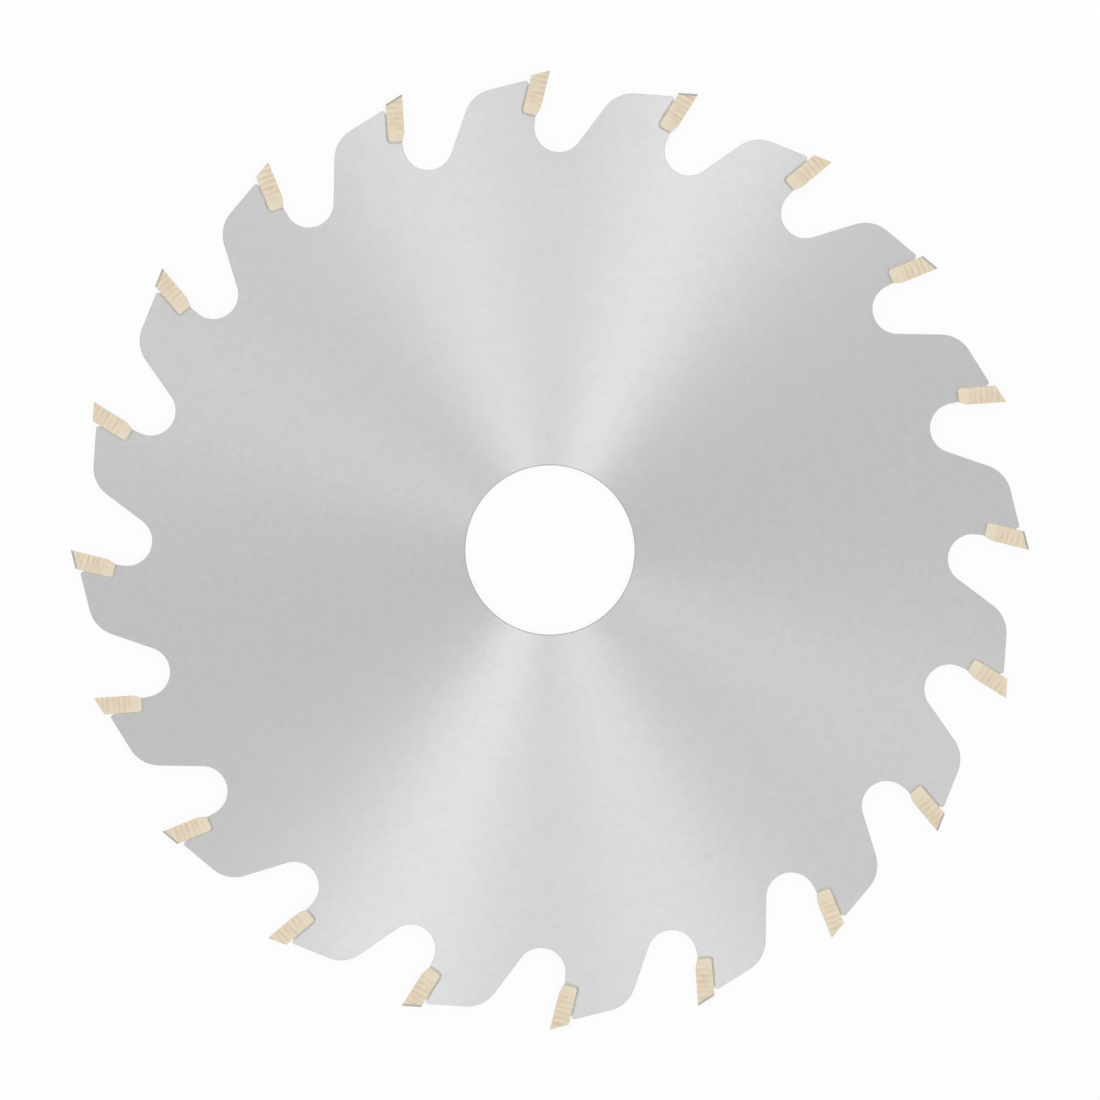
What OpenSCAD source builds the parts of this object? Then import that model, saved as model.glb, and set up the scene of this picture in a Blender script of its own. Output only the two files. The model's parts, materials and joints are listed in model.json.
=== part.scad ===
// Circular saw blade: a thin steel plate with carbide tips brazed into its rim.
// It lies flat. +Z is the arbor axis, the origin is the bore's centre at mid-thickness,
// the first tooth stands on +Y, and the teeth cut clockwise as seen from +Z.

/* [Blade] */
// Diameter over the cutting points
blade_d = 170; // [160:1:190]
// Diameter of the arbor bore
bore_d = 30; // [16:1:32]
// Number of teeth, even because their bevels alternate
teeth = 20; // [16:2:24]
// Thickness of the steel plate
plate_t = 1.6; // [1.2:0.1:1.8]
// Width of the broken edge at both ends of the bore
bore_break = 0.2; // [0.1:0.05:0.3]

/* [Tips] */
// Width of the cut, over the cutting edge
kerf = 2.4; // [2.3:0.1:3]
// Length of a tip along its rake face
tip_length = 8.4; // [7.5:0.1:9.5]
// Thickness of a tip from its rake face to its back
tip_t = 3; // [2.5:0.1:3.5]
// Angle of the rake face from the radius
hook = 14; // [8:1:20]
// Angle of the top behind the cutting edge
relief = 14; // [10:1:18]
// Angle of the top across the kerf, left and right by turns
bevel = 10; // [5:1:15]
// Angle by which each side narrows towards the bore
side_radial = 1; // [0.5:0.1:1.5]
// Angle by which each side narrows towards the back
side_back = 2; // [1:0.1:3]
// Length of the chamfer at the foot of the rake face
foot_length = 1.6; // [1:0.1:2.5]
// Depth of the chamfer at the foot of the rake face
foot_depth = 0.55; // [0.3:0.05:1]
// Radius of the corner between the foot and the back
foot_r = 0.6; // [0.3:0.05:1]

/* [Seat] */
// Thickness of the braze between a tip and the plate
braze_t = 0.2; // [0.1:0.01:0.3]
// Step from the top of a tip down to the plate behind it
heel_drop = 0.7; // [0.4:0.05:1.2]
// Radius of the plate's corner behind a tip
heel_r = 0.45; // [0.25:0.05:0.6]

/* [Gullet] */
// Length of the straight flank below the seat
flank_length = 1.4; // [0.8:0.1:2.4]
// Lean of the flank from the tooth's radius
flank_lean = 6; // [2:0.5:10]
// Radius of the gullet's bottom
gullet_r = 4.4; // [3.6:0.1:4.8]
// Slope of a tooth's back where it leaves the gullet
back_slope = 71; // [66:1:76]
// Radius of the shoulder between the back and the relief
shoulder_r = 6; // [4:0.1:8]

/* [Hidden] */
// Smoothness of round parts
$fa = 3;
$fs = 0.15;
// Arcs stand this far past the straight edges they meet, so that the two cross cleanly
slack = 0.001;
// Distance by which a cutting shape runs past what it cuts
rim = 1;
// Distance from inside a gullet to well outside the blade
reach = 2 * tip_length;

blade_r = blade_d / 2;
bore_r = bore_d / 2;
pitch = 360 / teeth;
rake_a = 90 - hook;
flank_a = 90 - flank_lean;
// Slope of the next tooth's back, in this tooth's frame
back_a = back_slope - pitch;
// Angle of the plate's corner behind a tip
heel_a = rake_a - relief;

edge_p = [0, blade_r];
toe_p = at_tip(-foot_depth, -tip_length - braze_t);
gullet_p = toe_p - flank_length * dir(flank_a) + gullet_r * dir(flank_a - 90);
flank_p = gullet_p + (gullet_r - slack) * dir(flank_a + 90);
back_p = gullet_p + (gullet_r - slack) * dir(back_a - 90);
relief_p = edge_p - heel_drop * dir(relief + 90);
heel_p = meet(relief_p, relief, at_tip(-tip_t - braze_t, 0), rake_a);
shoulder_p = meet(relief_p, relief, turn(back_p, pitch), back_slope);
// Height on the seat's back where the heel's corner starts, from the cutting edge
braze_top = (heel_p - edge_p) * dir(rake_a) - heel_r / tan(heel_a / 2);

steel = [0.80, 0.80, 0.80];
carbide = [0.88, 0.83, 0.73];
solder = [0.69, 0.69, 0.66];

function dir(a) = [cos(a), sin(a)];
function turn(p, a) = p.x * dir(a) + p.y * dir(a + 90);
// A point given behind (-u) and along (v) the rake face, from the cutting edge
function at_tip(u, v) = edge_p + u * dir(rake_a - 90) + v * dir(rake_a);
// Where the line through p at angle a meets the line through q at angle b
function meet(p, a, q, b) = p + (q - p) * dir(b + 90) / (dir(a) * dir(b + 90)) * dir(a);
function numbered(name, k) = str(name, k < 9 ? "_0" : "_", k + 1);

// What a rounding removes from the corner at apex, whose sides leave it at angles first and last
module corner_waste(apex, first, last, r) {
    half = (last - first) / 2;
    mid = (last + first) / 2;
    centre = apex + r / sin(half) * dir(mid);
    difference() {
        polygon([
            centre,
            centre + (r + rim) * dir(first - 90),
            apex - rim / sin(half) * dir(mid),
            centre + (r + rim) * dir(last + 90)
        ]);
        translate(centre) circle(r + slack);
    }
}

// Rounds the corner between foot and back of a shape that is larger than the tip by grow
module round_foot(grow) {
    difference() {
        children();
        corner_waste([-tip_t - grow, -tip_length - grow], 0, 90, foot_r + grow);
    }
}

// The slab a tip fills, larger by grow at the back and foot, from the front to the top given
module slab(grow, front, top) {
    back = -tip_t - grow;
    foot = -tip_length - grow;
    round_foot(grow) polygon([[front, foot], [front, top], [back, top], [back, foot]]);
}

// Moves a shape from the tip's own axes to tooth k
module to_tooth(k) {
    rotate([0, 0, -k * pitch]) translate(edge_p) rotate([0, 0, rake_a - 90]) children();
}

// The blade's outline before gullets and seats are cut: the relief lines of all teeth
module blank() {
    front = meet(relief_p, relief, at_tip(rim, 0), rake_a);
    back = shoulder_p - rim * dir(relief);
    polygon([for (k = [0 : teeth - 1]) for (p = [back, front]) turn(p, -k * pitch)]);
}

// One gullet: its round bottom, and the throat between the flank and the next tooth's back
module gullet() {
    translate(gullet_p) circle(gullet_r);
    polygon([
        flank_p,
        flank_p + (flank_length + braze_t) * dir(flank_a),
        at_tip(0, reach),
        back_p + reach * dir(back_a),
        back_p
    ]);
}

module plate_outline() {
    difference() {
        blank();
        for (k = [0 : teeth - 1]) {
            rotate([0, 0, -k * pitch]) {
                gullet();
                corner_waste(shoulder_p, back_slope - 180, relief, shoulder_r);
                corner_waste(heel_p, relief + 180, rake_a + 180, heel_r);
            }
            to_tooth(k) slab(braze_t, rim, rim);
        }
        circle(bore_r);
    }
}

module plate() {
    color(steel) difference() {
        linear_extrude(plate_t, center = true) plate_outline();
        for (side = [0, 180]) {
            rotate([side, 0, 0])
                translate([0, 0, plate_t / 2 - 2 * bore_break])
                    cylinder(h = 3 * bore_break, r1 = bore_r - bore_break, r2 = bore_r + 2 * bore_break);
        }
    }
}

module tip_outline() {
    round_foot(0) polygon([
        [0, rim],
        [-tip_t, rim],
        [-tip_t, -tip_length],
        [-foot_depth, -tip_length],
        [0, foot_length - tip_length]
    ]);
}

// Everything above the bevelled top, whose highest corner is on the side given by lift
module top_waste(lift) {
    translate([0, 0, lift * kerf / 2])
        rotate([0, 0, hook + relief]) rotate([-lift * bevel, 0, 0])
            translate([-reach, 0, -reach]) cube([2 * reach, reach, 2 * reach]);
}

// Everything past the side given by lift, which narrows towards the bore and the back
module side_waste(lift) {
    translate([0, 0, lift * kerf / 2])
        rotate([lift * side_radial, -lift * side_back, 0])
            translate([-reach, -reach, lift > 0 ? 0 : -reach]) cube([2 * reach, 2 * reach, reach]);
}

module tip(k) {
    color(carbide) to_tooth(k) difference() {
        linear_extrude(2 * kerf, center = true) tip_outline();
        top_waste(k % 2 == 0 ? 1 : -1);
        side_waste(1);
        side_waste(-1);
    }
}

module braze(k) {
    color(solder) to_tooth(k) linear_extrude(plate_t, center = true) difference() {
        slab(braze_t, -foot_depth, braze_top);
        slab(0, rim, rim);
    }
}

plate();
for (k = [0 : teeth - 1]) {
    tip(k);
    braze(k);
}
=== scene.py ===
import json
import math

import bpy
import numpy as np
from bpy.props import FloatProperty, FloatVectorProperty, PointerProperty
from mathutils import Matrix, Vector


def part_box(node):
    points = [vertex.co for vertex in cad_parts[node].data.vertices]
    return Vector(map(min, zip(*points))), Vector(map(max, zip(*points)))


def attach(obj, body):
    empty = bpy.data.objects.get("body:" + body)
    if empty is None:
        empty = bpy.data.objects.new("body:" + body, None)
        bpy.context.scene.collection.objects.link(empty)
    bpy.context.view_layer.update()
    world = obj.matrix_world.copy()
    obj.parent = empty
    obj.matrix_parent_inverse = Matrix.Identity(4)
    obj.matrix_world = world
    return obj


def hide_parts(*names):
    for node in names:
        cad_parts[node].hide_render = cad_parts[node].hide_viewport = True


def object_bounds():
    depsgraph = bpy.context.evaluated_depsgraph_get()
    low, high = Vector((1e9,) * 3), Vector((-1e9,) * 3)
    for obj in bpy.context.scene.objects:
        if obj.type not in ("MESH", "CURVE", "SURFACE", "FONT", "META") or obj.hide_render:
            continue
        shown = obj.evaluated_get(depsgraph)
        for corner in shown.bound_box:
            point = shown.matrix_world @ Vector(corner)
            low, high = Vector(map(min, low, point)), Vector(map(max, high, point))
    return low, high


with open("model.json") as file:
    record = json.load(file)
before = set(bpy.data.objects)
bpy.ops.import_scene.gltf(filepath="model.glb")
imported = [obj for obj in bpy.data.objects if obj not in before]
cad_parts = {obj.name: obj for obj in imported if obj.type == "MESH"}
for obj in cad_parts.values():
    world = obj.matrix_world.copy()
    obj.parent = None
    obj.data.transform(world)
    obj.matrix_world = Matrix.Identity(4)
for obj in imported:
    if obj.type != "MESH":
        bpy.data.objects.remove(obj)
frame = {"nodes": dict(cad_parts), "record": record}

bl_info = {
    "name": "Circular saw blade",
    "version": (1, 0, 0),
    "blender": (4, 5, 0),
    "location": "3D View > Sidebar > Saw blade",
    "description": "Dresses the solids of a carbide tipped saw blade and sets up its picture",
    "category": "Object",
}

MM = 0.001
QUARTER = math.pi / 2

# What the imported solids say, in metres
CAD_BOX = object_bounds()
PLATE_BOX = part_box("plate")
TEETH = sum(name.startswith("tip_") for name in frame["nodes"])
PITCH = 2 * math.pi / TEETH
BORE_RADIUS = MM * next(m["dims"]["r_mm"] for m in frame["record"]["mounts"] if m["kind"] == "bore")

# Angle between neighbouring points of a round edge
ARC_STEP = math.radians(4)
# Edges that bend more than this are drawn crisp
CRISP = math.radians(38)
# Points on the quarter circle of the plate's deburred edge
RIM_POINTS = 4
# Points round the bore for each tooth
BORE_POINTS = 12
# Rows of points in the solder down a tip's back and along its foot, and points across each fillet
SEAM_BACK_ROWS = 30
SEAM_FOOT_ROWS = 9
FILLET_POINTS = 7

# Ripples of the solder along the seam: share of its width, radians per millimetre, shift per tooth
RIPPLES = ((0.16, 2.1, 1.7), (0.1, 5.3, 2.9))
# Distance over which the solder tapers off at both ends, in millimetres
TAPER = 0.5
# Part of the solder's rise that is left at its ends
END_RISE = 0.35
# Depth to which a fillet's thin edge sinks into the plate
SUNK = 0.006 * MM

# Places on a tip's sides, in millimetres along its own axes
BAND_PITCH = 0.99
BAND_CREST = -3.85
FOOT_FADE = (-6.9, -5.9)
BACK_FADE = (-2.9, -1.2)

# Floor from its middle to its sides, in metres, and squares along each side
FLOOR_HALF = 3
FLOOR_SQUARES = 6
# Width of the camera's sensor, in millimetres
SENSOR = 36


def length(name, description, default):
    """A length that the user can change, in metres."""
    return FloatProperty(
        name=name, description=description, default=default, min=0, precision=5, unit="LENGTH"
    )


def angle(name, description, degrees):
    """An angle that the user can change, given here in degrees."""
    return FloatProperty(
        name=name, description=description, default=math.radians(degrees), subtype="ANGLE"
    )


def colour(name, description, default):
    """A linear colour that the user can change."""
    return FloatVectorProperty(
        name=name, description=description, default=default, min=0, max=1, size=3, subtype="COLOR"
    )


def share(name, description, default):
    """A part of one that the user can change."""
    return FloatProperty(
        name=name, description=description, default=default, min=0, max=1, subtype="FACTOR"
    )


def power(name, description, default):
    """A lamp's strength that the user can change, in watts."""
    return FloatProperty(name=name, description=description, default=default, min=0, unit="POWER")


class BladeSizes(bpy.types.PropertyGroup):
    """Sizes of the steel plate, its gullets and its seats"""

    blade_radius: length("Blade radius", "From the centre to the cutting points", CAD_BOX[1].y)
    bore_radius: length("Bore radius", "Radius of the arbor bore", BORE_RADIUS)
    plate_thickness: length(
        "Plate thickness", "Thickness of the steel plate", PLATE_BOX[1].z - PLATE_BOX[0].z
    )
    bore_break: length("Bore break", "Width of the broken edge at both ends of the bore", 0.2 * MM)
    rim_round: length("Rim round", "Radius of the deburred edge all round the plate", 0.07 * MM)
    flank_length: length("Flank length", "Length of the straight flank below the seat", 1.4 * MM)
    flank_lean: angle("Flank lean", "Lean of the flank from the tooth's radius", 6)
    gullet_radius: length("Gullet radius", "Radius of the gullet's bottom", 4.4 * MM)
    back_slope: angle("Back slope", "Slope of a tooth's back where it leaves the gullet", 71)
    shoulder_radius: length("Shoulder radius", "Radius between the back and the relief", 6 * MM)
    heel_drop: length("Heel drop", "Step from the top of a tip down to the plate", 0.7 * MM)
    heel_radius: length("Heel radius", "Radius of the plate's corner behind a tip", 0.45 * MM)


class TipSizes(bpy.types.PropertyGroup):
    """Sizes of the carbide tips and of the solder that holds them"""

    kerf: length("Kerf", "Width of the cut, over the cutting edge", CAD_BOX[1].z - CAD_BOX[0].z)
    tip_length: length("Tip length", "Length of a tip along its rake face", 8.4 * MM)
    tip_thickness: length("Tip thickness", "From the rake face to the back", 3 * MM)
    hook: angle("Hook", "Angle of the rake face from the radius", 14)
    relief: angle("Relief", "Angle of the top behind the cutting edge", 14)
    bevel: angle("Bevel", "Angle of the top across the kerf, left and right by turns", 10)
    side_radial: angle("Radial clearance", "Angle by which each side narrows towards the bore", 1)
    side_back: angle("Back clearance", "Angle by which each side narrows towards the back", 2)
    foot_length: length("Foot length", "Length of the chamfer below the rake face", 1.6 * MM)
    foot_depth: length("Foot depth", "Depth of the chamfer below the rake face", 0.55 * MM)
    foot_radius: length("Foot radius", "Radius of the corner between foot and back", 0.6 * MM)
    edge_break: length("Edge break", "Width of the broken edges at back and foot", 0.05 * MM)
    keen_break: length("Keen break", "Width of the same break along the cutting edges", 0.008 * MM)
    solder_gap: length("Solder gap", "Thickness of the solder between tip and plate", 0.2 * MM)
    solder_spread: length("Solder spread", "How far the solder runs out over the plate", 0.24 * MM)
    solder_rise: length("Solder rise", "How far the solder climbs up the tip", 0.1 * MM)


class Finishes(bpy.types.PropertyGroup):
    """Colours of the blade's finishes"""

    steel: colour("Ground steel", "Faces of the plate", (0.586, 0.586, 0.586))
    cut_edge: colour("Cut edge", "Laser cut walls and edges of the plate", (0.48, 0.48, 0.48))
    straw_light: colour("Light straw", "Light bands on the sides of the tips", (0.80, 0.685, 0.52))
    straw_dark: colour("Dark straw", "Dark bands on the sides of the tips", (0.62, 0.525, 0.38))
    straw_pale: colour("Pale straw", "Foot and back of the tips' sides", (0.79, 0.695, 0.545))
    keen: colour("Ground carbide", "Rake faces and tops of the tips", (0.31, 0.277, 0.222))
    solder: colour("Solder", "Solder round the tips", (0.45, 0.44, 0.405))


class StageSettings(bpy.types.PropertyGroup):
    """Light, floor and camera"""

    frame_width: length("Frame width", "Width of the picture at the blade", 195.03 * MM)
    lens: length("Lens", "Focal length, long so that the view is flat", 1.2)
    floor: colour("Floor", "Colour of the floor", (0.97, 0.97, 0.97))
    floor_share: share("Floor share", "Part of the floor that shows without shade", 0.9)
    fill: share("Fill", "Strength of the even light from all around", 0.72)
    lamp_distance: length("Lamp distance", "From the blade to each soft box", 2.5)
    lamp_polar: angle("Lamp angle", "Angle of the soft boxes from straight above", 48)
    lamp_width: length("Lamp width", "Width of each soft box", 0.7)
    lamp_height: length("Lamp height", "Height of each soft box", 3.2)
    first_lamp: power("First pair", "Power of each soft box of the first pair", 6.05)
    first_turn: angle("First direction", "Direction of the first pair, from +X", 68.8)
    second_lamp: power("Second pair", "Power of each soft box of the second pair", 4.87)
    second_turn: angle("Second direction", "Direction of the second pair, from +X", 107.8)
    third_lamp: power("Third pair", "Power of each soft box of the third pair", 2.2)
    third_turn: angle("Third direction", "Direction of the third pair, from +X", 153.7)


class SawBlade(bpy.types.PropertyGroup):
    """Everything about the blade that a user would change"""

    blade: PointerProperty(type=BladeSizes)
    tip: PointerProperty(type=TipSizes)
    finish: PointerProperty(type=Finishes)
    stage: PointerProperty(type=StageSettings)


# Plane geometry -------------------------------------------------------------


def heading(at):
    """Unit vectors in the plane: the cosine and sine of each angle."""
    return np.stack((np.cos(at), np.sin(at)), axis=-1)


def turned(points, by):
    """Points carried round the arbor: x along the turned x axis plus y along the turned y axis."""
    return points[..., :1] * heading(by) + points[..., 1:] * heading(by + QUARTER)


def crossing(p, a, q, b):
    """Where the line through p at angle a meets the line through q at angle b.

    It is p plus the run along a that makes up the distance from p to q, measured square to b.
    """
    square = heading(b + QUARTER)
    return p + (q - p) @ square / (heading(a) @ square) * heading(a)


def arc(centre, radius, first, last):
    """A round run: the centre plus the radius at even steps of angle from first to last."""
    steps = 1 + math.ceil(abs(last - first) / ARC_STEP)
    return centre + radius * heading(np.linspace(first, last, steps))


def corner_centre(apex, first, last, radius):
    """Centre of a corner's rounding: out from the apex along the middle of its two sides."""
    return apex + radius / math.sin((last - first) / 2) * heading((first + last) / 2)


def inward(loop):
    """The step that takes each point of an anticlockwise loop one unit inside both its sides.

    It is the sum of the two sides' inward normals, divided by one plus their dot product.
    """
    side = np.roll(loop, -1, axis=-2) - loop
    side = side / np.linalg.norm(side, axis=-1, keepdims=True)
    after = np.stack((-side[..., 1], side[..., 0]), axis=-1)
    before = np.roll(after, 1, axis=-2)
    return (before + after) / (1 + (before * after).sum(axis=-1, keepdims=True))


def raised(flat, height):
    """Points of the plane with a height added as their third number."""
    return np.concatenate((flat, np.broadcast_to(height, flat.shape[:-1])[..., None]), axis=-1)


class Tooth:
    """One tooth's points and angles in its own frame, where its cutting point stands on +Y."""

    def __init__(self, blade, tip):
        self.blade, self.tip = blade, tip
        self.rake = QUARTER - tip.hook
        self.flank = QUARTER - blade.flank_lean
        self.edge = np.array((0, blade.blade_radius))
        self.toe = self.at_tip(np.array((-tip.foot_depth, -tip.tip_length - tip.solder_gap)))
        away = blade.gullet_radius * heading(self.flank - QUARTER)
        self.gullet = self.toe - blade.flank_length * heading(self.flank) + away
        # The next tooth's back leaves this gullet here
        self.gullet_end = blade.back_slope - PITCH + 3 * QUARTER
        back = turned(self.gullet + blade.gullet_radius * heading(self.gullet_end), PITCH)
        relief = self.edge - blade.heel_drop * heading(tip.relief + QUARTER)
        seat = self.at_tip(np.array((-tip.tip_thickness - tip.solder_gap, 0)))
        self.heel = crossing(relief, tip.relief, seat, self.rake)
        self.shoulder = crossing(relief, tip.relief, back, blade.back_slope)
        # Where the corner between foot and back is centred, in the tip's axes
        self.foot_centre = tip.foot_radius - np.array((tip.tip_thickness, tip.tip_length))

    def at_tip(self, points):
        """Points in the tip's axes (ahead of the rake face, up along it) from the cutting edge."""
        ahead, up = heading(self.rake - QUARTER), heading(self.rake)
        return self.edge + points[..., :1] * ahead + points[..., 1:] * up

    def place(self, points, number):
        """Points in the tip's axes with a height, set on that tooth, counted clockwise."""
        return raised(turned(self.at_tip(points[..., :2]), -number * PITCH), points[..., 2])

    def solder_top(self):
        """How far up the tip's back the solder reaches: to where the heel starts to curve away."""
        over = self.blade.heel_radius / math.tan((self.rake - self.tip.relief) / 2)
        return (self.heel - self.edge) @ heading(self.rake) - over

    def outline(self):
        """The plate's edge round one tooth, from the bottom of one gullet to that of the next.

        Arcs of the gullet behind, shoulder, heel, seat corner and gullet ahead, joined by straight
        runs.
        """
        blade, tip = self.blade, self.tip
        bottom = math.atan2(-self.gullet[1], -self.gullet[0]) % (2 * math.pi)
        behind = turned(self.gullet, PITCH)
        shoulder = corner_centre(
            self.shoulder, blade.back_slope - math.pi, tip.relief, blade.shoulder_radius
        )
        heel = corner_centre(
            self.heel, tip.relief + math.pi, self.rake + math.pi, blade.heel_radius
        )
        seat = arc(self.foot_centre, tip.foot_radius + tip.solder_gap, math.pi, 3 * QUARTER)
        return np.concatenate((
            arc(behind, blade.gullet_radius, bottom + PITCH, self.gullet_end + PITCH),
            arc(shoulder, blade.shoulder_radius, blade.back_slope + QUARTER, tip.relief + QUARTER),
            arc(heel, blade.heel_radius, tip.relief + QUARTER, self.rake - QUARTER),
            self.at_tip(seat),
            self.toe[None],
            arc(self.gullet, blade.gullet_radius, self.flank + QUARTER, bottom)[:-1],
        ))


# Meshes ---------------------------------------------------------------------


def bands(rows, count, first=0):
    """Four-sided faces from each row of points to the next, all the way round a closed loop."""
    row = first + count * np.arange(rows - 1)[:, None]
    here = np.arange(count)
    ahead = np.roll(here, -1)
    faces = np.stack((row + here, row + count + here, row + count + ahead, row + ahead), axis=-1)
    return faces.reshape(-1, 4)


def new_piece(name, points, faces, flat, finishes):
    """A mesh piece at the origin. Its flat faces take the first finish and the others the last."""
    mesh = bpy.data.meshes.new(name)
    mesh.from_pydata(points.reshape(-1, 3).tolist(), [], faces)
    for finish in finishes:
        mesh.materials.append(finish)
    finish_of = np.where(flat, 0, len(finishes) - 1)
    mesh.polygons.foreach_set("material_index", finish_of.astype(np.int32))
    # This clears which faces are flat, so it comes first
    mesh.set_sharp_from_angle(angle=CRISP)
    mesh.polygons.foreach_set("use_smooth", ~flat)
    mesh.update()
    piece = bpy.data.objects.new(name, mesh)
    bpy.context.scene.collection.objects.link(piece)
    return piece


def plate_mesh(blade, tooth):
    """The plate: an edge profile carried round the outline, one round the bore, and flat faces.

    The rim's profile is a quarter circle at each face, stepped inside the outline by r(1 - sin a)
    and below the face by r(1 - cos a). The bore's profile is the wall with a chamfer at each end.
    The flat faces are cut into one sector for each tooth, from the bore to the bottoms of its two
    gullets.
    """
    one = tooth.outline()
    # Teeth follow each other clockwise, so the whole outline is turned about to run anticlockwise
    loop = turned(one, -PITCH * np.arange(TEETH)[:, None]).reshape(-1, 2)
    loop = np.roll(loop[::-1], 1, axis=0)
    half = blade.plate_thickness / 2
    rise = np.linspace(0, QUARTER, RIM_POINTS)
    step_in = blade.rim_round * (1 - np.sin(rise))
    height = half - blade.rim_round * (1 - np.cos(rise))
    step_in = np.concatenate((step_in, step_in[::-1]))
    height = np.concatenate((height, -height[::-1]))
    rim = raised(loop + step_in[:, None, None] * inward(loop), height[:, None])
    bore_count = TEETH * BORE_POINTS
    bore_start = math.atan2(loop[0, 1], loop[0, 0])
    round_bore = bore_start + np.arange(bore_count) * 2 * math.pi / bore_count
    narrow, wide = blade.bore_radius, blade.bore_radius + blade.bore_break
    deep = half - blade.bore_break
    profile = np.array(((wide, half), (narrow, deep), (narrow, -deep), (wide, -half)))
    bore = raised(profile[:, None, :1] * heading(round_bore), profile[:, 1:])
    count, rows, bore_rows = len(loop), len(height), len(profile)
    first_bore = rows * count
    bore_walls = bands(bore_rows, bore_count, first_bore)[:, ::-1]
    walls = np.concatenate((bands(rows, count), bore_walls))
    sector = np.arange(TEETH)[:, None]
    outer = (sector * len(one) + np.arange(len(one) + 1)) % count
    inner = first_bore + (sector * BORE_POINTS + np.arange(BORE_POINTS + 1)[::-1]) % bore_count
    top = np.concatenate((outer, inner), axis=1)
    low = (outer + (rows - 1) * count, inner + (bore_rows - 1) * bore_count)
    bottom = np.concatenate(low, axis=1)[:, ::-1]
    faces = [*walls.tolist(), *top.tolist(), *bottom.tolist()]
    points = np.concatenate((rim.reshape(-1, 3), bore.reshape(-1, 3)))
    return points, faces, np.arange(len(faces)) >= len(walls)


def tip_mesh(tip, tooth, lift):
    """A tip in its own axes: its outline carried across the kerf, its top leaning by the bevel.

    The sides stand at plus and minus kerf/2 + u tan(back) + v tan(radial)/cos(back). The top is
    the plane v = u tan(hook + relief) + lift tan(bevel)/cos(hook + relief) (z - lift kerf/2). The
    outline has four rows: stepped in and full on one side, then full and stepped in on the other,
    so that a narrow break is left along each side.
    """
    slope = tip.hook + tip.relief
    lean = lift * math.tan(tip.bevel) / math.cos(slope)
    corner = arc(tooth.foot_centre, tip.foot_radius, math.pi, 3 * QUARTER)
    u = np.concatenate(((0, 0, -tip.tip_thickness), corner[:, 0], (-tip.foot_depth,)))
    on_top = np.zeros(len(u))
    on_top[1:3] = 1
    foot = tip.foot_length - tip.tip_length
    v = np.concatenate(((foot, 0, 0), corner[:, 1], (-tip.tip_length,)))
    v = v + on_top * (u * math.tan(slope) - lean * lift * tip.kerf / 2)
    follow = on_top * lean
    narrow = math.tan(tip.side_radial) / math.cos(tip.side_back)
    widest = tip.kerf / 2 + u * math.tan(tip.side_back)
    side = np.array((1, 1, -1, -1))[:, None]
    z = side * (widest + narrow * v) / (1 - side * narrow * follow)
    keen = (on_top > 0) | (u > -tip.foot_depth / 2)
    broken = np.where(keen, tip.keen_break, tip.edge_break)
    stepped = np.array((1, 0, 0, 1))[:, None]
    z = z - side * broken * (1 - stepped)
    loop = np.stack((np.broadcast_to(u, z.shape), v + follow * z), axis=-1)
    loop = loop + (stepped * broken)[..., None] * inward(loop)
    widest = tip.kerf / 2 + loop[..., 0] * math.tan(tip.side_back)
    z = np.where(stepped > 0, side * (widest + narrow * loop[..., 1]), z)
    rows, count = z.shape
    walls = bands(rows, count)
    cap = np.arange(count)
    faces = [*walls.tolist(), cap.tolist(), ((rows - 1) * count + cap[::-1]).tolist()]
    return raised(loop, z), faces, np.arange(len(faces)) >= len(walls)


def bead_mesh(blade, tip, tooth, number):
    """One tip's solder: its section carried down the back, round the corner and along the foot.

    The section is the gap between tip and plate with a hollow fillet at each face, which runs out
    over the plate and climbs the tip as a parabola. Spread and rise swell and shrink along the
    seam as a sum of sines. Towards both ends they fall along a quarter circle, the spread to
    nothing.
    """
    half_gap = tip.solder_gap / 2
    corner = arc(tooth.foot_centre, tip.foot_radius + half_gap, math.pi, 3 * QUARTER)
    down = np.linspace(tooth.solder_top(), corner[0, 1], SEAM_BACK_ROWS, endpoint=False)
    along = np.linspace(corner[-1, 0], -tip.foot_depth, SEAM_FOOT_ROWS)[1:]
    path = np.concatenate((
        np.stack((np.full(len(down), corner[0, 0]), down), axis=1),
        corner,
        np.stack((along, np.full(len(along), corner[-1, 1])), axis=1),
    ))
    run = np.gradient(path, axis=0)
    run = run / np.linalg.norm(run, axis=1, keepdims=True)
    to_tip = np.stack((-run[:, 1], run[:, 0]), axis=1)
    steps = np.linalg.norm(np.diff(path, axis=0), axis=1) / MM
    way = np.concatenate(((0,), np.cumsum(steps)))
    swell = 1 + sum(wide * np.sin(turn * way + shift * number) for wide, turn, shift in RIPPLES)
    to_end = np.minimum(way, way[-1] - way) / TAPER
    taper = np.sqrt(1 - np.clip(1 - to_end, 0, 1) ** 2)
    spread = (tip.solder_spread * swell * taper)[:, None]
    rise = (tip.solder_rise * swell * (END_RISE + (1 - END_RISE) * taper))[:, None]
    half = blade.plate_thickness / 2
    out = np.linspace(0, 1, FILLET_POINTS)
    across = half_gap - out * (tip.solder_gap + spread)
    height = half + rise * (1 - out) ** 2 - SUNK * out
    inside = np.full((len(path), 1), -half_gap)
    deep = np.full((len(path), 1), half - blade.rim_round)
    across = np.concatenate((across, inside, inside, across[:, ::-1]), axis=1)
    height = np.concatenate((height, deep, -deep, -height[:, ::-1]), axis=1)
    points = raised(path[:, None] + across[..., None] * to_tip[:, None], height)
    rows, count = across.shape
    walls = bands(rows, count)[:, ::-1]
    cap = np.arange(count)
    faces = [*walls.tolist(), cap[::-1].tolist(), ((rows - 1) * count + cap).tolist()]
    return points, faces, np.arange(len(faces)) >= len(walls)


# Materials ------------------------------------------------------------------


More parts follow.
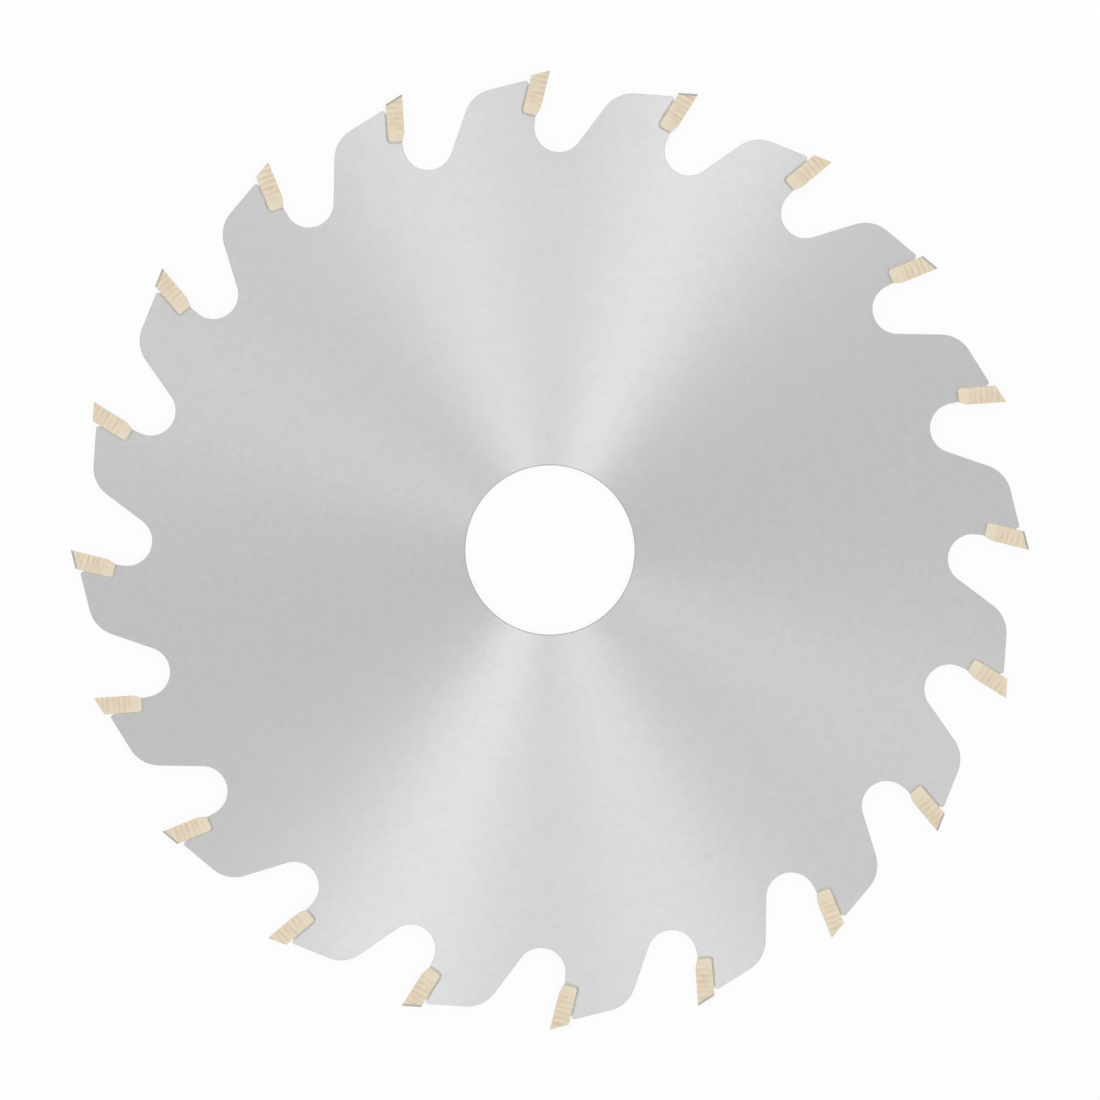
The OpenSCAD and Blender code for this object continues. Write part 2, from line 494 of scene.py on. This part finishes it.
class Field:
    """A node's output. Sums, products and powers of outputs that are numbers add Math nodes."""

    def __init__(self, sheet, socket):
        self.sheet, self.socket = sheet, socket

    def math(self, operation, *pair):
        """A Math node on one number or two."""
        return self.sheet.node("ShaderNodeMath", {"operation": operation}, dict(enumerate(pair)))

    def __add__(self, other):
        return self.math("ADD", self, other)

    __radd__ = __add__

    def __sub__(self, other):
        return self.math("SUBTRACT", self, other)

    def __rsub__(self, other):
        return self.math("SUBTRACT", other, self)

    def __mul__(self, other):
        return self.math("MULTIPLY", self, other)

    __rmul__ = __mul__

    def __truediv__(self, other):
        return self.math("DIVIDE", self, other)

    def __rtruediv__(self, other):
        return self.math("DIVIDE", other, self)

    def __pow__(self, other):
        return self.math("POWER", self, other)

    def __rpow__(self, other):
        return self.math("POWER", other, self)

    def larger(self, other):
        """The larger of two numbers."""
        return self.math("MAXIMUM", self, other)

    def cosine(self):
        """The cosine of an angle in radians."""
        return self.math("COSINE", self)

    def between(self, low, high):
        """0 below low, 1 above high and a soft step in between."""
        settings = {"interpolation_type": "SMOOTHSTEP"}
        sockets = {"Value": self, "From Min": low, "From Max": high}
        return self.sheet.node("ShaderNodeMapRange", settings, sockets)


class Sheet:
    """The nodes of one material or of the world."""

    def __init__(self, owner):
        owner.use_nodes = True
        self.tree = owner.node_tree
        self.tree.nodes.clear()

    def node(self, kind, settings=(), sockets=(), output=0):
        """Adds a node: its settings first, and then its sockets' values or links.

        Gives the output asked for, or nothing where the node has none.
        """
        made = self.tree.nodes.new(kind)
        for key, value in dict(settings).items():
            setattr(made, key, value)
        for key, value in dict(sockets).items():
            socket = self.pick(made.inputs, key)
            if isinstance(value, Field):
                self.tree.links.new(value.socket, socket)
            else:
                socket.default_value = value
        return Field(self, self.pick(made.outputs, output)) if made.outputs else None

    @staticmethod
    def pick(sockets, key):
        """A socket by its place, or by its identifier or name."""
        if isinstance(key, int):
            return sockets[key]
        return next(s for s in sockets if key in (s.identifier, s.name))

    def place(self):
        """Object coordinates, in metres."""
        return self.node("ShaderNodeTexCoord", output="Object")

    def own(self, name, output="Vector"):
        """An attribute of the piece."""
        return self.node("ShaderNodeAttribute", {"attribute_name": name}, output=output)

    def parts(self, vector):
        """The three numbers of a vector."""
        split = self.node("ShaderNodeSeparateXYZ", sockets={"Vector": vector}).socket.node
        return [Field(self, socket) for socket in split.outputs]

    def vector(self, x, y, z):
        """A vector from three numbers."""
        return self.node("ShaderNodeCombineXYZ", sockets={0: x, 1: y, 2: z})

    def noise(self, vector, scale=1.0, detail=2.0, roughness=0.5):
        """Soft noise about zero, with that many features per unit."""
        sockets = {"Vector": vector, "Scale": scale, "Detail": detail, "Roughness": roughness}
        return self.node("ShaderNodeTexNoise", sockets=sockets) - 0.5

    def mix(self, factor, low, high):
        """A colour between two colours."""
        sockets = {"Factor_Float": factor, "A_Color": rgba(low), "B_Color": rgba(high)}
        return self.node("ShaderNodeMix", {"data_type": "RGBA"}, sockets, "Result_Color")

    def varied(self, noise, tone, by):
        """A colour made darker and lighter by up to that share, as noise about zero goes."""
        return self.mix(0.5 + noise, shade(tone, 1 - by), shade(tone, 1 + by))

    def bump(self, height, distance, strength):
        """A normal that follows a height, in metres for each unit of it."""
        sockets = {"Height": height, "Distance": distance, "Strength": strength}
        return self.node("ShaderNodeBump", sockets=sockets)

    def output(self, shader, kind="ShaderNodeOutputMaterial"):
        """Ends the nodes with a shader."""
        self.node(kind, sockets={"Surface": shader})

    def principled(self, **sockets):
        """The surface, from sockets named with underscores for spaces."""
        named = {key.replace("_", " "): value for key, value in sockets.items()}
        self.output(self.node("ShaderNodeBsdfPrincipled", sockets=named))


def rgba(value):
    """A colour with full alpha, or a field as it is."""
    return value if isinstance(value, Field) else (*value, 1)


def shade(value, by):
    """A colour made lighter or darker by a factor."""
    return tuple(min(1, part * by) for part in value)


def new_finish(name):
    """An empty material and its nodes."""
    material = bpy.data.materials.new(name)
    return material, Sheet(material)


def ground_steel(look):
    """Plate faces, ground in circles: a satin whose gloss spreads across the grinding lines."""
    material, sheet = new_finish("circle_ground_steel")
    place = sheet.place()
    x, y, _ = sheet.parts(place)
    radius = (x * x + y * y) ** 0.5

    def arcs(across, around, detail, roughness=0.5):
        """Lines along the circles: so many per metre of radius, in so many lengths per radian.

        The direction is a unit vector, so they have no seam.
        """
        vector = sheet.vector(radius * across, x / radius * around, y / radius * around)
        return sheet.noise(vector, detail=detail, roughness=roughness)

    fine = arcs(across=16000, around=9, detail=2, roughness=0.6)
    coarse = arcs(across=5200, around=7, detail=3, roughness=0.6)
    lines = 0.6 * fine + 0.4 * coarse
    broad = arcs(across=900, around=3, detail=2)
    grain = sheet.noise(place, scale=850)
    cloud = sheet.noise(place, scale=45)
    tone = 1.4 * lines + 0.25 * broad + 0.45 * grain + 0.2 * cloud
    sheet.principled(
        Base_Color=sheet.varied(tone, look.steel, by=0.06),
        Metallic=1.0,
        Roughness=0.42 + 0.12 * lines + 0.15 * grain + 0.03 * cloud,
        Anisotropic=0.94,
        Anisotropic_Rotation=0.25,
        Normal=sheet.bump(grain + 0.1 * lines, distance=0.004 * MM, strength=1.0),
    )
    return material


def cut_edge(look):
    """Walls cut by laser: duller steel with fine ribs that run through the thickness."""
    material, sheet = new_finish("laser_cut_edge")
    place = sheet.place()
    x, y, z = sheet.parts(place)
    ribs = sheet.noise(sheet.vector(x * 7000, y * 7000, z * 500))
    spots = sheet.noise(place, scale=2500, detail=3)
    sheet.principled(
        Base_Color=sheet.varied(0.6 * ribs + 0.4 * spots, look.cut_edge, by=0.25),
        Metallic=1.0,
        Roughness=0.42 + 0.25 * ribs,
        Normal=sheet.bump(ribs, distance=0.01 * MM, strength=0.4),
    )
    return material


def straw_carbide(look):
    """Sides of the tips: straw coloured, with soft bands and fine grinding lines across them."""
    material, sheet = new_finish("straw_carbide")
    u, v, z = sheet.parts(sheet.own("tip_axes"))
    # Each tip shows its own part of the pattern
    seed = z + 11.3 * sheet.own("tip_number", "Fac")
    drift = sheet.noise(sheet.vector(u * 0.5, v * 1.3, seed), detail=1)
    lines = sheet.noise(sheet.vector(u * 0.4, v * 8, seed), roughness=0.6)
    grit = sheet.noise(sheet.vector(u, v, seed), scale=14)
    # The bands repeat about every millimetre along the rake face and fade out towards the foot
    band = ((v - BAND_CREST + 0.5 * drift) * (2 * math.pi / BAND_PITCH)).cosine()
    foot = 1 - v.between(*FOOT_FADE)
    light = 0.55 + 0.24 * band * (1 - foot) + 1.6 * lines + 1.1 * drift
    banded = sheet.mix(light, look.straw_dark, look.straw_light)
    pale = 0.56 * foot + 0.28 * (1 - u.between(*BACK_FADE))
    sheet.principled(
        Base_Color=sheet.mix(pale, banded, look.straw_pale),
        Metallic=0.25,
        Roughness=0.42 + 0.2 * lines + 0.1 * grit,
        Normal=sheet.bump(lines + 0.3 * grit, distance=0.004 * MM, strength=0.3),
    )
    return material


def keen_carbide(look):
    """Rake faces, tops and edges of the tips: bare carbide, ground across the kerf."""
    material, sheet = new_finish("ground_carbide")
    u, v, z = sheet.parts(sheet.own("tip_axes"))
    # Each tip shows its own part of the pattern
    number = sheet.own("tip_number", "Fac")
    across = sheet.vector((u + v) * 22, z * 0.9, 7.7 * number)
    scratches = sheet.noise(across, detail=3, roughness=0.6)
    grit = sheet.noise(sheet.vector(u, v, z + 5.1 * number), scale=18)
    sheet.principled(
        Base_Color=sheet.varied(0.7 * scratches + 0.3 * grit, look.keen, by=0.14),
        Metallic=0.85,
        Roughness=0.3 + 0.2 * scratches,
        Normal=sheet.bump(scratches, distance=0.004 * MM, strength=0.3),
    )
    return material


def silver_solder(look):
    """Solder round the tips: dull grey metal, darker and lighter in blots and specks."""
    material, sheet = new_finish("silver_solder")
    place = sheet.place()
    blots = sheet.noise(place, scale=1800, detail=3)
    specks = sheet.noise(place, scale=9000)
    sheet.principled(
        Base_Color=sheet.varied(0.7 * blots + 0.3 * specks, look.solder, by=0.4),
        Metallic=0.8,
        Roughness=0.45 + 0.3 * blots,
        Normal=sheet.bump(blots + 0.4 * specks, distance=0.02 * MM, strength=0.3),
    )
    return material


def seen(sheet):
    """1 for what the camera sees, also in gloss or through glass, and 0 for plain bounced light."""
    path = sheet.node("ShaderNodeLightPath").socket.node
    names = ("Is Camera Ray", "Is Glossy Ray", "Is Transmission Ray")
    camera, gloss, through = (Field(sheet, path.outputs[name]) for name in names)
    return camera.larger(gloss).larger(through)


def floor_finish(stage):
    """Pale floor that keeps part of its shade and shows white."""
    material, sheet = new_finish("pale_floor")
    matt = sheet.node("ShaderNodeBsdfDiffuse", sockets={"Color": rgba(stage.floor)})
    white = sheet.node("ShaderNodeEmission", sockets={"Color": (1, 1, 1, 1), "Strength": 1.0})
    sockets = {0: seen(sheet) * stage.floor_share, 1: matt, 2: white}
    sheet.output(sheet.node("ShaderNodeMixShader", sockets=sockets))
    return material


# Operators ------------------------------------------------------------------


class MakePlate(bpy.types.Operator):
    """Make the steel plate with its deburred rim and broken bore"""

    bl_idname = "saw_blade.make_plate"
    bl_label = "Steel plate"

    def execute(self, context):
        saw = context.scene.saw_blade
        mesh = plate_mesh(saw.blade, Tooth(saw.blade, saw.tip))
        finishes = (ground_steel(saw.finish), cut_edge(saw.finish))
        piece = new_piece("saw_plate", *mesh, finishes)
        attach(piece, "root")
        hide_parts("plate")
        return {"FINISHED"}


class MakeTips(bpy.types.Operator):
    """Make the carbide tips, bevelled left and right by turns"""

    bl_idname = "saw_blade.make_tips"
    bl_label = "Carbide tips"

    def execute(self, context):
        saw = context.scene.saw_blade
        tooth = Tooth(saw.blade, saw.tip)
        finishes = (straw_carbide(saw.finish), keen_carbide(saw.finish))
        for number in range(TEETH):
            lift = 1 if number % 2 == 0 else -1
            points, *rest = tip_mesh(saw.tip, tooth, lift)
            label = f"{number + 1:02d}"
            piece = new_piece("carbide_tip_" + label, tooth.place(points, number), *rest, finishes)
            axes = piece.data.attributes.new("tip_axes", "FLOAT_VECTOR", "POINT")
            axes.data.foreach_set("vector", (points / MM).ravel())
            own = piece.data.attributes.new("tip_number", "FLOAT", "POINT")
            own.data.foreach_set("value", np.full(len(own.data), number, dtype=np.float32))
            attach(piece, "root")
            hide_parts("tip_" + label)
        return {"FINISHED"}


class MakeBeads(bpy.types.Operator):
    """Make the solder that holds each tip in its seat"""

    bl_idname = "saw_blade.make_beads"
    bl_label = "Solder beads"

    def execute(self, context):
        saw = context.scene.saw_blade
        tooth = Tooth(saw.blade, saw.tip)
        finishes = (silver_solder(saw.finish),)
        for number in range(TEETH):
            points, *rest = bead_mesh(saw.blade, saw.tip, tooth, number)
            label = f"{number + 1:02d}"
            piece = new_piece("solder_bead_" + label, tooth.place(points, number), *rest, finishes)
            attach(piece, "root")
            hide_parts("braze_" + label)
        return {"FINISHED"}


class SetStage(bpy.types.Operator):
    """Set the floor, the light and the camera"""

    bl_idname = "saw_blade.set_stage"
    bl_label = "Stage"

    def execute(self, context):
        scene, stage = context.scene, context.scene.saw_blade.stage
        scene.view_settings.view_transform = "Standard"
        self.floor(stage)
        self.world(scene, stage)
        self.lamp_pair("soft_box_1", stage.first_turn, stage.first_lamp, stage)
        self.lamp_pair("soft_box_2", stage.second_turn, stage.second_lamp, stage)
        self.lamp_pair("soft_box_3", stage.third_turn, stage.third_lamp, stage)
        camera = bpy.data.cameras.new("camera")
        camera.lens = stage.lens / MM
        camera.sensor_width = SENSOR
        seat = bpy.data.objects.new("camera", camera)
        seat.location.z = stage.frame_width / SENSOR * camera.lens
        scene.collection.objects.link(seat)
        scene.camera = seat
        return {"FINISHED"}

    def floor(self, stage):
        """A flat square under the teeth: x and y on an even grid."""
        side = np.linspace(-FLOOR_HALF, FLOOR_HALF, FLOOR_SQUARES + 1)
        points = raised(np.stack(np.meshgrid(side, side), axis=-1), CAD_BOX[0].z)
        corner = np.arange(len(side) ** 2).reshape(len(side), len(side))
        round_it = (corner[:-1, :-1], corner[:-1, 1:], corner[1:, 1:], corner[1:, :-1])
        faces = np.stack(round_it, axis=-1).reshape(-1, 4).tolist()
        flat = np.full(len(faces), True)
        new_piece("floor", points, faces, flat, (floor_finish(stage),))

    def world(self, scene, stage):
        """Even light from all around, which the camera and gloss see as white."""
        scene.world = bpy.data.worlds.new("studio")
        sheet = Sheet(scene.world)
        strength = stage.fill + (1 - stage.fill) * seen(sheet)
        sockets = {"Color": (1, 1, 1, 1), "Strength": strength}
        sheet.output(sheet.node("ShaderNodeBackground", sockets=sockets), "ShaderNodeOutputWorld")

    def lamp_pair(self, name, around, watts, stage):
        """Two soft boxes that face the blade from opposite sides."""
        self.lamp(name + "_a", around, watts, stage)
        self.lamp(name + "_b", around + math.pi, watts, stage)

    def lamp(self, name, around, watts, stage):
        """A tall soft box that faces the blade from one side."""
        lamp = bpy.data.lights.new(name, "AREA")
        lamp.shape = "RECTANGLE"
        lamp.size, lamp.size_y = stage.lamp_width, stage.lamp_height
        lamp.energy = watts
        out = math.sin(stage.lamp_polar)
        up = math.cos(stage.lamp_polar)
        toward = Vector((out * math.cos(around), out * math.sin(around), up))
        box = bpy.data.objects.new(name, lamp)
        box.location = toward * stage.lamp_distance
        box.rotation_euler = toward.to_track_quat("Z", "Y").to_euler()
        bpy.context.scene.collection.objects.link(box)


class SawBladePanel(bpy.types.Panel):
    """Sizes, colours and steps of the saw blade"""

    bl_idname = "VIEW3D_PT_saw_blade"
    bl_label = "Saw blade"
    bl_space_type = "VIEW_3D"
    bl_region_type = "UI"
    bl_category = "Saw blade"

    def draw(self, context):
        saw = context.scene.saw_blade
        for group in (saw.blade, saw.tip, saw.finish, saw.stage):
            box = self.layout.box()
            for name in type(group).__annotations__:
                box.prop(group, name)
        for step in STEPS:
            self.layout.operator(step.bl_idname)


STEPS = (MakePlate, MakeTips, MakeBeads, SetStage)
CLASSES = (BladeSizes, TipSizes, Finishes, StageSettings, SawBlade, *STEPS, SawBladePanel)


def register():
    for made in CLASSES:
        bpy.utils.register_class(made)
    bpy.types.Scene.saw_blade = PointerProperty(type=SawBlade)


def unregister():
    del bpy.types.Scene.saw_blade
    for made in reversed(CLASSES):
        bpy.utils.unregister_class(made)


def main():
    register()
    bpy.ops.saw_blade.make_plate()
    bpy.ops.saw_blade.make_tips()
    bpy.ops.saw_blade.make_beads()
    bpy.ops.saw_blade.set_stage()


if __name__ == "__main__":
    main()
